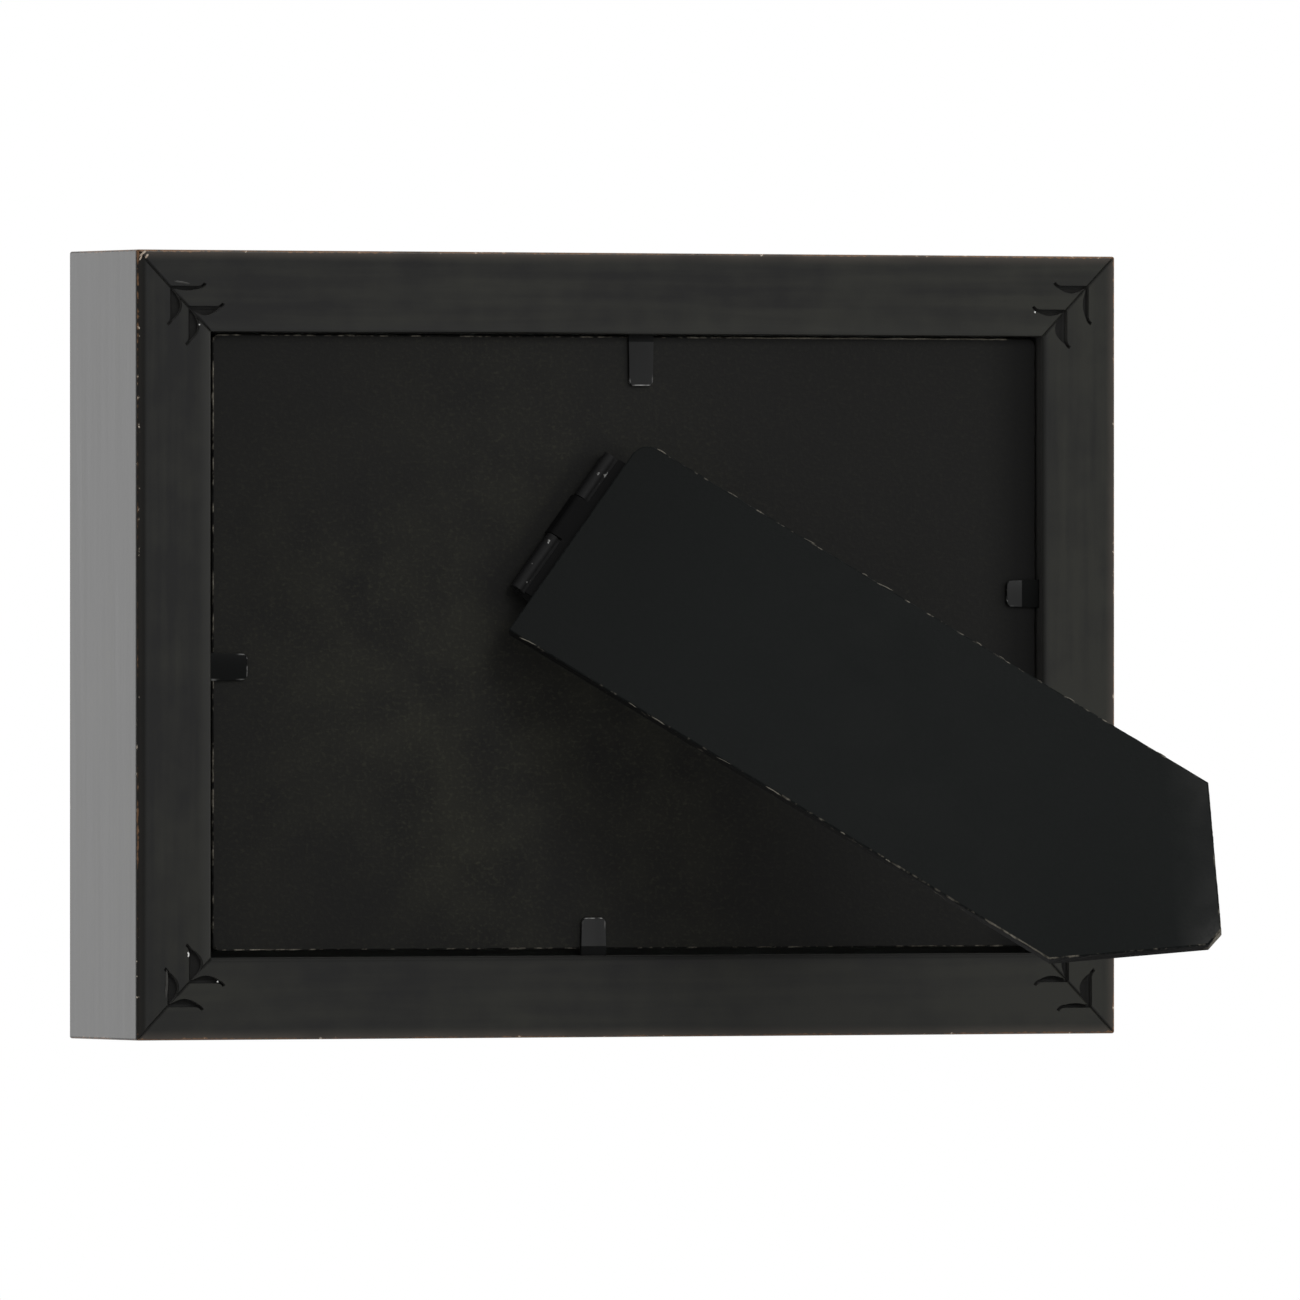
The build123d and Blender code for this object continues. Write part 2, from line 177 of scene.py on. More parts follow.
# Where the paint carries a painted highlight or painted shade along the inner arrises, is darker along an outer
# arris, or is rubbed, worn off or chipped: metres from an arris, and shares of a pattern.
HALVES_MEET = (-0.01, 0.01)
RABBET_STARTS = (0.0001, 0.00005)
INNER_HIGHLIGHT_BAND = (0.0024, INNER_ARRIS)
INNER_SHADE_BAND = (0.0015, INNER_ARRIS)
INNER_SHADE_SHARE = 0.7
OUTER_DARK_BAND = (0.0028, 0.0012)
OUTER_DARK_DEPTH = (-0.0012, -0.0003)
RUBBED_BAND = (0.0019, 0.0002)
RUBBED_FALL = 1.6
RUBBED_CLOUDS = (0.2, 0.5)
WEAR_CLOUDS = (0.3, 0.7)
WEAR_PITS = (0.25, 0.75)
WEAR_CORNER = (0.0022, 0.0006)
WEAR_REACH = 0.0006
WEAR_LEAST = 0.00012
WEAR_SPARED = 0.00016
CHIP_PITS = (0.66, 0.7)
CHIP_BAND = (0.0005, 0.0003)
# The hollows that the nail driver crushed, and the floor of the rabbet.
CRUSHED_DEPTH = (0.00012, 0.00025)
CRUSHED_OUTER = (0.0006, 0.0008)
CRUSHED_INNER = (0.0001, 0.0003)
TORN_FACING = (0.7, 0.3)
FLOOR_DEPTH = (0, 0.002)
PAINT_ROUGHNESS = 0.29
STREAK_ROUGHNESS = 0.06
PIT_HEIGHT = 0.3
PAINT_RELIEF = 0.00002
PAINT_GLOSS = 0.27


def painted_wood(name, grain, axis, worn, darker_outer):
    """Satin black paint on planed wood, worn brown along the arrises and dull where the wood is crushed.

    Of the two rails that face each other along an axis, the upper one's inner arris is lightened by a share as a
    painted highlight and the lower one's is darkened as painted shade, and the back of the upper one is darker and
    duller by a share along its outer arris. The paint is also lighter towards -X and towards the bottom, as
    painted light.
    """
    finish, tree, shader, place = new_finish(name)
    x, y, z = axes(tree, place)
    aside = calc(tree, "SUBTRACT", FRAME_WIDTH / 2, calc(tree, "ABSOLUTE", x))
    above = calc(tree, "SUBTRACT", FRAME_HEIGHT / 2, calc(tree, "ABSOLUTE", z))
    outer = calc(tree, "MINIMUM", aside, above)
    corner = calc(tree, "MAXIMUM", aside, above)
    face = calc(tree, "MINIMUM", calc(tree, "MULTIPLY", y, -1.0), calc(tree, "ADD", y, FRAME_DEPTH))
    arris = calc(tree, "MINIMUM", calc(tree, "MAXIMUM", outer, face), corner)
    streaks = mottle(tree, place, GRAIN_STREAKS, detail=3, drawn_out=grain)
    clouds = mottle(tree, place, PAINT_CLOUDS)
    blots = mottle(tree, place, PAINT_BLOTS, detail=3)
    pits = mottle(tree, place, PAINT_PITS, detail=3)
    thinness_and_light = calc(tree, "MULTIPLY", streaks, THINNED_BY_STREAKS)
    thinness_and_light = calc(tree, "MULTIPLY_ADD", blots, THINNED_BY_BLOTS, thinness_and_light)
    thinness_and_light = calc(tree, "MULTIPLY_ADD", clouds, THINNED_BY_CLOUDS, thinness_and_light)
    # Painted light: the paint gets lighter towards -X and towards the bottom, for how the light falls on the
    # rails.
    thinness_and_light = calc(tree, "MULTIPLY_ADD", x, PAINTED_LIGHT_ACROSS, thinness_and_light)
    thinness_and_light = calc(tree, "MULTIPLY_ADD", z, PAINTED_LIGHT_UP, thinness_and_light)
    paint = tinted(tree, between(tree, thinness_and_light, *THIN_RANGE), PAINT_THICK, PAINT_THIN)

    # Painted highlight on the upper rail's inner arris and painted shade on the lower one's, for how the light
    # falls on them.
    upper = between(tree, (x, y, z)[axis], *HALVES_MEET)
    highlight_upper = calc(tree, "MULTIPLY", upper, worn)
    darker_outer_upper = calc(tree, "MULTIPLY", upper, darker_outer)
    behind = nearing(tree, y, -RABBET_DEPTH, RABBET_STARTS)
    inner = calc(tree, "MULTIPLY", nearing(tree, outer, RABBET_WALL, INNER_HIGHLIGHT_BAND), behind)
    paint = tinted(tree, calc(tree, "MULTIPLY", inner, highlight_upper), paint, INNER_HIGHLIGHT_PAINT)
    shade_lower = calc(tree, "MULTIPLY_ADD", upper, -INNER_SHADE_SHARE, INNER_SHADE_SHARE)
    dull = calc(tree, "MULTIPLY", nearing(tree, outer, RABBET_WALL, INNER_SHADE_BAND), shade_lower)
    dull = calc(tree, "MULTIPLY", dull, behind)
    # A darker, duller band along the outer arris of the upper rail's back.
    darker_band = calc(tree, "MULTIPLY", between(tree, outer, *OUTER_DARK_BAND), between(tree, y, *OUTER_DARK_DEPTH))
    dull = calc(tree, "MAXIMUM", dull, calc(tree, "MULTIPLY", darker_band, darker_outer_upper))
    paint = tinted(tree, dull, paint, PAINT_THICK)

    rubbing = calc(tree, "POWER", between(tree, arris, *RUBBED_BAND), RUBBED_FALL)
    rubbing = calc(tree, "MULTIPLY", rubbing, between(tree, clouds, *RUBBED_CLOUDS))
    rubbing = calc(tree, "MULTIPLY", rubbing, calc(tree, "SUBTRACT", 1.0, darker_outer_upper))
    paint = tinted(tree, rubbing, paint, RUBBED_PAINT)
    wear = calc(tree, "MULTIPLY", between(tree, clouds, *WEAR_CLOUDS), between(tree, pits, *WEAR_PITS))
    reach = calc(tree, "MULTIPLY_ADD", between(tree, corner, *WEAR_CORNER), WEAR_REACH, WEAR_REACH)
    wear = calc(tree, "ADD", calc(tree, "MULTIPLY", wear, reach), WEAR_LEAST)
    wear = calc(tree, "SUBTRACT", wear, calc(tree, "MULTIPLY", darker_outer_upper, WEAR_SPARED))
    wear = calc(tree, "SUBTRACT", wear, arris)
    paint = tinted(tree, between(tree, wear, 0.0, HAIR), paint, BARE_WOOD)
    chips = calc(tree, "MULTIPLY", between(tree, pits, *CHIP_PITS), between(tree, arris, *CHIP_BAND))
    paint = tinted(tree, chips, paint, CHIPPED_WOOD)

    crushed = between(tree, face, *CRUSHED_DEPTH)
    crushed = calc(tree, "MULTIPLY", crushed, between(tree, outer, *CRUSHED_OUTER))
    inside = nearing(tree, outer, RABBET_WALL - INNER_ARRIS, CRUSHED_INNER)
    crushed = calc(tree, "MULTIPLY", crushed, inside)
    paint = tinted(tree, crushed, paint, tinted(tree, pits, CRUSHED_WOOD, CRUSHED_WOOD_PALE))
    normal = add_node(tree, "ShaderNodeNewGeometry").outputs["Normal"]
    facing = vector_calc(tree, "DOT_PRODUCT", normal, back_out, "Value")
    torn = calc(tree, "MULTIPLY", crushed, between(tree, facing, *TORN_FACING))
    paint = tinted(tree, torn, paint, TORN_WOOD)
    wall = calc(tree, "MULTIPLY", between(tree, outer, RABBET_WALL - HAIR, RABBET_WALL), behind)
    paint = tinted(tree, wall, paint, RABBET_PAINT)
    sunk = calc(tree, "MULTIPLY", between(tree, outer, RABBET_WALL, RABBET_WALL + HAIR), behind)
    sunk = calc(tree, "MULTIPLY", sunk, between(tree, face, *FLOOR_DEPTH))
    paint = tinted(tree, sunk, paint, RABBET_FLOOR)

    roughness = calc(tree, "MULTIPLY_ADD", streaks, STREAK_ROUGHNESS, PAINT_ROUGHNESS)
    roughness = calc(tree, "MAXIMUM", roughness, calc(tree, "MAXIMUM", crushed, sunk))
    roughness = calc(tree, "MAXIMUM", roughness, dull)
    height = calc(tree, "ADD", streaks, calc(tree, "MULTIPLY", pits, PIT_HEIGHT))
    dress(tree, shader, paint, roughness, height, PAINT_RELIEF, PAINT_GLOSS)
    return finish


# The worn share is the painted highlight on the upper rail's inner arris; the last share darkens the upper rail's
# back along its outer arris.
level_paint = painted_wood("level_paint", grain=(GRAIN_DRAWN_OUT, 1, 1), axis=2, worn=0.25, darker_outer=0.0)
upright_paint = painted_wood("upright_paint", grain=(1, 1, GRAIN_DRAWN_OUT), axis=0, worn=0.75, darker_outer=0.86)
for side in ("bottom", "top"):
    coat(f"rail_{side}", level_paint)
for side in ("left", "right"):
    coat(f"rail_{side}", upright_paint)

# V-nails: strips of blued spring steel folded to a V with curled tips, pressed into each mitre
# from behind by a driver that crushed the wood beside them. Some tips are left bright and proud,
# some crushed wood stands up beside a wing in a pale lip, and one corner is chipped to the wood.
BLUED_STEEL = (0.0075, 0.0075, 0.0078, 1)
DUSTY_STEEL = (0.022, 0.022, 0.0213, 1)
BRIGHT_STEEL = (0.72, 0.72, 0.70, 1)
STEEL_SPOTS = 900
STEEL_MARKS = 3000
SPOT_EDGE = 0.06
MARKED_SHADE = 0.8
MARK_ROUGHNESS = 0.2
STEEL_RELIEF = 0.000006
RAISED_WOOD = (0.016, 0.016, 0.0145, 1)
RAISED_WOOD_PALE = (0.040, 0.039, 0.035, 1)
STRAND_ROUGHNESS = 0.2
SPLINTER_RELIEF = 0.00004
SLIVER_SIDES = 6
SLIVER_CUT = 0.3
SLIVER_POINT = 0.12
SLIVER_ARCH = (0, 0.25, 0.1)
NAIL_TIP_THICK = 0.0003
SPLINTER_THICK = 0.0002
# Splinters, each by its place across and up, its length and its width in millimetres, and its turn.
MILLIMETRES = 1000
NAIL_TIPS = (
    (80.8, -50.9, 0.9, 0.3, 88),
    (75.5, -55.4, 0.35, 0.3, 20),
    (78.8, 52.7, 0.3, 0.3, 70),
    (-75.0, 55.6, 0.4, 0.3, 40),
)
WOOD_LIPS = ((81.9, 59.6, 2.8, 0.4, 8), (84.75, -55.7, 4.6, 0.5, 92))
CORNER_CHIPS = ((89.0, 64.35, 1.5, 0.35, -38), (88.3, 63.9, 0.9, 0.4, -50), (89.4, 63.6, 1.0, 0.3, -62))


def metal(name, dark, bright, worn, dull=0.28, gloss=PLAIN_GLOSS):
    """Steel with a dark skin that a share of spots has lost, dulled by fine marks."""
    finish, tree, shader, place = new_finish(name)
    spots = mottle(tree, place, STEEL_SPOTS, detail=3)
    marks = mottle(tree, place, STEEL_MARKS)
    bare = between(tree, spots, 1 - worn, 1 + SPOT_EDGE - worn)
    marked = [share * MARKED_SHADE for share in dark[:3]] + [1]
    skin = tinted(tree, marks, marked, dark)
    tree.links.new(bare, shader.inputs["Metallic"])
    roughness = calc(tree, "MULTIPLY_ADD", marks, MARK_ROUGHNESS, dull)
    dress(tree, shader, tinted(tree, bare, skin, bright), roughness, marks, STEEL_RELIEF, gloss)
    return finish


def torn_fibres(name, dark, pale, per_metre, rough, relief, gloss=PLAIN_GLOSS):
    """Torn wood fibres, from dark to pale, so many strands to a metre."""
    finish, tree, shader, place = new_finish(name)
    strands = mottle(tree, place, per_metre)
    roughness = calc(tree, "MULTIPLY_ADD", strands, STRAND_ROUGHNESS, rough)
    dress(tree, shader, tinted(tree, strands, dark, pale), roughness, strands, relief, gloss)
    return finish


def select_only(piece):
    """Makes one piece the selected and active one."""
    bpy.ops.object.select_all(action="DESELECT")
    piece.select_set(True)
    bpy.context.view_layer.objects.active = piece


def pick(piece, chosen):
    """Selects, in edit mode, just the vertices that a test on their place chooses."""
    bpy.ops.mesh.select_mode(type="VERT")
    bpy.ops.mesh.select_all(action="DESELECT")
    shape = bmesh.from_edit_mesh(piece.data)
    for vertex in shape.verts:
        vertex.select_set(chosen(vertex.co))
    shape.select_flush_mode()
    bmesh.update_edit_mesh(piece.data)


def slice_at(stations, direction):
    """Cuts the whole shape across at each place along a direction."""
    for station in stations:
        bpy.ops.mesh.select_all(action="SELECT")
        bpy.ops.mesh.bisect(plane_co=Vector(direction) * station, plane_no=direction)


def new_sliver():
    """A splinter of unit length along X: a thin bar drawn out to points and arched."""
    bpy.ops.object.select_all(action="DESELECT")
    bpy.ops.mesh.primitive_cylinder_add(vertices=SLIVER_SIDES, radius=0.5, depth=1, rotation=(0, pi / 2, 0))
    piece = bpy.context.object
    bpy.ops.object.transform_apply(location=False, rotation=True, scale=False)
    bpy.ops.object.mode_set(mode="EDIT")
    slice_at((-SLIVER_CUT, 0.0, SLIVER_CUT), (1, 0, 0))
    pick(piece, lambda at: abs(at.x) > 1.5 * SLIVER_CUT)
    bpy.ops.transform.resize(value=(1, SLIVER_POINT, SLIVER_POINT))
    pick(piece, lambda at: abs(at.x) < SLIVER_CUT / 2)
    bpy.ops.transform.translate(value=SLIVER_ARCH)
    bpy.ops.object.mode_set(mode="OBJECT")
    return piece


def strew(name, pattern, places):
    """Copies of a pattern piece at each placing matrix, joined into one piece."""
    bpy.ops.object.select_all(action="DESELECT")
    for place in places:
        copy = bpy.data.objects.new(name, pattern.data.copy())
        bpy.context.scene.collection.objects.link(copy)
        copy.data.transform(place)
        copy.select_set(True)
        bpy.context.view_layer.objects.active = copy
    bpy.ops.object.join()
    joined = bpy.context.object
    joined.name = name
    joined.data.name = name
    return joined


def splinters(name, pattern, rows, thick, finish):
    """One piece made of slivers that lie on the back of the moulding, one to a row."""
    places = []
    for x, z, length, width, turn in rows:
        spot = Matrix.Translation(Vector((x, 0, z)) / MILLIMETRES)
        turned = Matrix.Rotation(radians(-turn), 4, "Y")
        sized = Matrix.Diagonal((length / MILLIMETRES, thick, width / MILLIMETRES, 1))
        places.append(upright @ spot @ turned @ sized)
    piece = strew(name, pattern, places)
    piece.data.materials.append(finish)
    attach(piece, "frame")


blued_steel = metal("blued_steel", DUSTY_STEEL, BRIGHT_STEEL, worn=0.05, dull=0.6, gloss=0.06)
for corner in ("bottom_left", "bottom_right", "top_left", "top_right"):
    coat(f"v_nails_{corner}", blued_steel)
sliver = new_sliver()
bright_steel = metal("bright_steel", BLUED_STEEL, BRIGHT_STEEL, worn=0.9)
splinters("nail_tips", sliver, NAIL_TIPS, NAIL_TIP_THICK, bright_steel)
raised_wood = torn_fibres("raised_wood", RAISED_WOOD, RAISED_WOOD_PALE, per_metre=1500, rough=0.4,
                          relief=SPLINTER_RELIEF, gloss=0.25)
splinters("wood_lips", sliver, WOOD_LIPS, SPLINTER_THICK, raised_wood)
bare_wood = torn_fibres("bare_wood", BARE_WOOD, CHIPPED_WOOD, per_metre=1800, rough=0.6,
                        relief=SPLINTER_RELIEF)
splinters("corner_chips", sliver, CORNER_CHIPS, SPLINTER_THICK, bare_wood)

# Glass: a pane of 2 mm float glass, cut and ground along its edges, dropped into the rabbet from
# behind. It is clear face on and green along its edges, with the faint smears of handling.
GLASS_CLEAR = (0.97, 0.99, 0.98, 1)
GLASS_EDGE = (0.45, 0.75, 0.62, 1)
GLASS_EDGE_BAND = (0.0004, 0.0)
GLASS_SMEARS = 60
SMEARS_DRAWN_OUT = (1, 1, 0.4)
SMEARS_SHOWN = (0.5, 0.8)
SMEAR_ROUGHNESS = 0.06
SMEAR_RELIEF = 0.000002
GLASS_IOR = 1.52
PANE_HALF = (0.075, 0.050)
LAID_LOOSE = 0.00005
GLASS_ARRIS = 0.0002
MERGED_WITHIN = 0.000002
FLAT_WITHIN = radians(1)


def copy_of_node(node_name, name, *finishes):
    """A copy of a node's shape with its own finishes, its triangles merged, selected in edit mode."""
    piece = bpy.data.objects.new(name, frame["nodes"][node_name].data.copy())
    bpy.context.scene.collection.objects.link(piece)
    piece.data.materials.clear()
    for finish in finishes:
        piece.data.materials.append(finish)
    select_only(piece)
    bpy.ops.mesh.customdata_custom_splitnormals_clear()
    bpy.ops.object.mode_set(mode="EDIT")
    bpy.ops.mesh.select_all(action="SELECT")
    bpy.ops.mesh.remove_doubles(threshold=MERGED_WITHIN)
    return piece


def laid_loose(node_name, name, finish):
    """A flat node's own shape, drawn in all round so that it lies just clear of what it is stacked with."""
    piece = copy_of_node(node_name, name, finish)
    bpy.ops.mesh.dissolve_limited(angle_limit=FLAT_WITHIN)
    bpy.ops.mesh.select_all(action="SELECT")
    bpy.ops.transform.shrink_fatten(value=-LAID_LOOSE, use_even_offset=True)
    bpy.ops.object.mode_set(mode="OBJECT")
    bpy.ops.object.shade_flat()
    return piece


clear_glass, tree, shader, place = new_finish("clear_glass")
x, _, z = axes(tree, place)
inset = calc(tree, "SUBTRACT", PANE_HALF[0], calc(tree, "ABSOLUTE", x))
inset = calc(tree, "MINIMUM", inset, calc(tree, "SUBTRACT", PANE_HALF[1], calc(tree, "ABSOLUTE", z)))
smears = mottle(tree, place, GLASS_SMEARS, detail=4, drawn_out=SMEARS_DRAWN_OUT)
colour = tinted(tree, between(tree, inset, *GLASS_EDGE_BAND), GLASS_CLEAR, GLASS_EDGE)
roughness = calc(tree, "MULTIPLY", between(tree, smears, *SMEARS_SHOWN), SMEAR_ROUGHNESS)
dress(tree, shader, colour, roughness, smears, SMEAR_RELIEF)
shader.inputs["Transmission Weight"].default_value = 1.0
shader.inputs["IOR"].default_value = GLASS_IOR
pane = laid_loose("glass_pane", "pane", clear_glass)
ground = pane.modifiers.new("ground_arris", "BEVEL")
ground.width = GLASS_ARRIS
ground.segments = 2
bpy.ops.object.modifier_apply(modifier=ground.name)
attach(pane, "frame")
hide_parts("glass_pane")

# Sheet: a blank sheet of heavy matt paper in the print's place, between the glass and the
# board. It is a warm white, with the fine felt of the paper machine.
PAPER = (0.80, 0.785, 0.75, 1)
PAPER_SHADE = (0.74, 0.725, 0.685, 1)
PAPER_FELT = 2200
PAPER_CLOUDS = 90
PAPER_ROUGHNESS = 0.7
FELT_ROUGHNESS = 0.2
FELT_RELIEF = 0.00003
blank_paper, tree, shader, place = new_finish("blank_paper")
felt = mottle(tree, place, PAPER_FELT, detail=4)
clouds = mottle(tree, place, PAPER_CLOUDS)
colour = tinted(tree, calc(tree, "MULTIPLY", felt, clouds), PAPER, PAPER_SHADE)
roughness = calc(tree, "MULTIPLY_ADD", felt, FELT_ROUGHNESS, PAPER_ROUGHNESS)
dress(tree, shader, colour, roughness, felt, FELT_RELIEF)
blank_sheet = laid_loose("print_sheet", "blank_sheet", blank_paper)
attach(blank_sheet, "frame")
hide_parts("print_sheet")

# Board: 2.5 mm hardboard dyed black, its smooth face outwards, sawn to size and eased at its
# corners. Pale fibres show in the dye, most in a paler patch that is partly rubbed and partly painted light,
# and along the sawn rim. Painted shadow darkens it beside the hinge and along the margin under one rail,
# and painted shade grows towards the other side.
BOARD_DARK = (0.0073, 0.0073, 0.0068, 1)
# The sawn edges' colour, also laid as painted shadow and shade over the board, and darkening the leg towards its
# hinge end.
BOARD_SAWN_AND_SHADE = (0.0030, 0.0030, 0.0028, 1)
# A paler patch: partly rubbed, partly painted light.
BOARD_RUBBED_AND_LIT = (0.0164, 0.0164, 0.0127, 1)
BOARD_FLECK = (0.030, 0.030, 0.021, 1)
FIBRE_PALE = (0.24, 0.22, 0.18, 1)
leg_joint = joints["leg_fold"]
hinge_along = Vector(leg_joint["axis"])
hinge_middle = Vector(leg_joint["pos_m"])
# The dye's patterns, in spots to a metre, and the part of each pattern that shows.
DYE_CLOUDS = 26
DYE_BLOTS = 110
BOARD_FLECKS = 1500
BOARD_FIBRES = 1900
FIBRES_DRAWN_OUT = (0.5, 1, 1)
RUBBED_DYE_CLOUDS = (0.3, 0.62)
RUBBED_DYE_BLOTS = (0.25, 0.6)
FLECKS_SHOWN = (0.54, 0.8)
FIBRES_SHOWN = (0.56, 0.82)
SPECKS_LEAST = 0.2
BOARD_ROUGHNESS = 0.55
DYE_ROUGHNESS = 0.2
BOARD_RELIEF = 0.00003
BOARD_GLOSS = 0.1
# The paler patch, partly rubbed and partly painted light, the painted shadow beside the hinge, and the painted
# shade along one margin and towards the other side, in metres.
PATCH_MIDDLE = Vector((0.028, 0, -0.014))
PATCH_SHAPE = (1, 0, 0.75)
PATCH_AWAY = (0.066, 0.012)
HINGE_SHADOW_ALONG = (0.019, 0.014)
HINGE_SHADOW_ASIDE = (0.0052, 0.0022)
MARGIN_ACROSS = (-0.0655, -0.0725)
MARGIN_FALL = 1.5
FAR_SIDE_SHADE_ACROSS = (0.0, 0.07)
FAR_SIDE_SHADE_SHARE = 0.25
# The frayed rim: its patterns to a metre, what shows of them, and where the board is frayed more.
FRAY_STRETCHES = 55
FRAY_FIBRES = 700
FRAY_STRANDS = 2500
STRETCHES_SHOWN = (0.35, 0.65)
FRAY_SHOWN = (0.62, 0.78)
FRAY_ROUGHNESS = 0.75
FRAY_RELIEF = 0.00005
FRAY_GLOSS = 0.1
TOP_EDGE = (0.045, 0.048)
TOP_ACROSS = (0.01, -0.045)
TOP_FRAYED = 0.42
SIDE_EDGE = (0.07, 0.073)
SIDE_FRAYED = 0.05
SHADOW_MARGIN_EDGE = (-0.07, -0.0725)
# The sawn outline: how finely it is cut, how far its arris is eased, and how far that is torn.
OUTLINE_SHORTEST = 0.002
OUTLINE_CUTS = 120
EASED = 0.00022
TORN = 0.00007
TORN_SEED = 3
SAME_LEVEL = 0.00001
STANDS_ON_EDGE = 0.5


def hardboard(name, dark, rubbed, fleck, rubbed_and_lit_share, darker_share):
    """Dyed hardboard, paler by one share and darker by another, with pale flecks and fibres; on the board the
    paler share is partly painted light and the darker one is painted shadow and shade.
    """
    finish, tree, shader, place = new_finish(name)
    clouds = mottle(tree, place, DYE_CLOUDS, detail=3)
    blots = mottle(tree, place, DYE_BLOTS, detail=3)
    flecks = mottle(tree, place, BOARD_FLECKS, detail=3)
    fibres = mottle(tree, place, BOARD_FIBRES, drawn_out=FIBRES_DRAWN_OUT)
    patch = calc(tree, "MAXIMUM", rubbed_and_lit_share(tree, place), 0.0)
    patch = calc(tree, "MULTIPLY", patch, between(tree, clouds, *RUBBED_DYE_CLOUDS))
    worn = calc(tree, "MULTIPLY", patch, between(tree, blots, *RUBBED_DYE_BLOTS))
    colour = tinted(tree, worn, dark, rubbed)
    shows = calc(tree, "MULTIPLY_ADD", patch, 1 - SPECKS_LEAST, SPECKS_LEAST)
    specks = between(tree, flecks, *FLECKS_SHOWN)
    specks = calc(tree, "MAXIMUM", specks, between(tree, fibres, *FIBRES_SHOWN))
    colour = tinted(tree, calc(tree, "MULTIPLY", specks, shows), colour, fleck)
    # The darker share: painted shadow and shade on the board, and a darker hinge end on the leg.
    colour = tinted(tree, darker_share(tree, place), colour, BOARD_SAWN_AND_SHADE)
    roughness = calc(tree, "MULTIPLY_ADD", clouds, DYE_ROUGHNESS, BOARD_ROUGHNESS)
    dress(tree, shader, colour, roughness, calc(tree, "ADD", flecks, fibres), BOARD_RELIEF, BOARD_GLOSS)
    return finish


def run_along(tree, place, start, direction):
    """How far a point of the surface lies from a start point along a direction, all in metres."""
    start = upright.inverted() @ start
    direction = upright.to_3x3().inverted() @ direction
    over = vector_calc(tree, "SUBTRACT", place, start)
    return vector_calc(tree, "DOT_PRODUCT", over, direction, "Value")


def patch_and_hinge_shadow(tree, place):
    """A paler patch in the middle of the board, partly rubbed and partly painted light, less a painted shadow
    beside the hinge.
    """
    flat = vector_calc(tree, "MULTIPLY", place, PATCH_SHAPE)
    away = vector_calc(tree, "DISTANCE", flat, PATCH_MIDDLE, "Value")
    aside = calc(tree, "ABSOLUTE", run_along(tree, place, hinge_middle, back_out.cross(hinge_along)))
    along = calc(tree, "ABSOLUTE", run_along(tree, place, hinge_middle, hinge_along))
    # Painted shadow: there is no patch beside the hinge, so the board stays dark there.
    beside = between(tree, along, *HINGE_SHADOW_ALONG)
    beside = calc(tree, "MULTIPLY", beside, between(tree, aside, *HINGE_SHADOW_ASIDE))
    return calc(tree, "SUBTRACT", between(tree, away, *PATCH_AWAY), beside)


def shadow_margin(tree, place):
    """Painted shadow along the margin under one upright rail, where the rail's shade falls."""
    x = axes(tree, place)["X"]
    return calc(tree, "POWER", between(tree, x, *MARGIN_ACROSS), MARGIN_FALL)


def shade_on_board(tree, place):
    """That painted shadow, and painted shade over a little of the other side of the board."""
    x = axes(tree, place)["X"]
    other_side = calc(tree, "MULTIPLY", between(tree, x, *FAR_SIDE_SHADE_ACROSS), FAR_SIDE_SHADE_SHARE)
    return calc(tree, "MAXIMUM", shadow_margin(tree, place), other_side)


def frayed_rim(name, dark, bare, frayed_more):
    """A sawn edge, where some fibres have come up pale through the dye, more or fewer from place to place."""
    finish, tree, shader, place = new_finish(name)
    stretches = mottle(tree, place, FRAY_STRETCHES)
    fibres = mottle(tree, place, FRAY_FIBRES, detail=3)
    strands = mottle(tree, place, FRAY_STRANDS)
    shown = calc(tree, "MULTIPLY_ADD", between(tree, stretches, *STRETCHES_SHOWN), bare, fibres)
    shown = between(tree, calc(tree, "ADD", shown, frayed_more(tree, place)), *FRAY_SHOWN)
    colour = tinted(tree, calc(tree, "MULTIPLY", shown, strands), dark, FIBRE_PALE)
    roughness = calc(tree, "MULTIPLY_ADD", strands, STRAND_ROUGHNESS, FRAY_ROUGHNESS)
    dress(tree, shader, colour, roughness, strands, FRAY_RELIEF, FRAY_GLOSS)
    return finish


def along_top(tree, place):
    """More along half of the top edge, a little down one side, and none across the margin of painted shadow."""
    x, _, z = axes(tree, place)
    top = calc(tree, "MULTIPLY", between(tree, z, *TOP_EDGE), between(tree, x, *TOP_ACROSS))
    down_side = calc(tree, "MULTIPLY", between(tree, x, *SIDE_EDGE), SIDE_FRAYED)
    more = calc(tree, "MULTIPLY_ADD", top, TOP_FRAYED, down_side)
    return calc(tree, "SUBTRACT", more, between(tree, x, *SHADOW_MARGIN_EDGE))


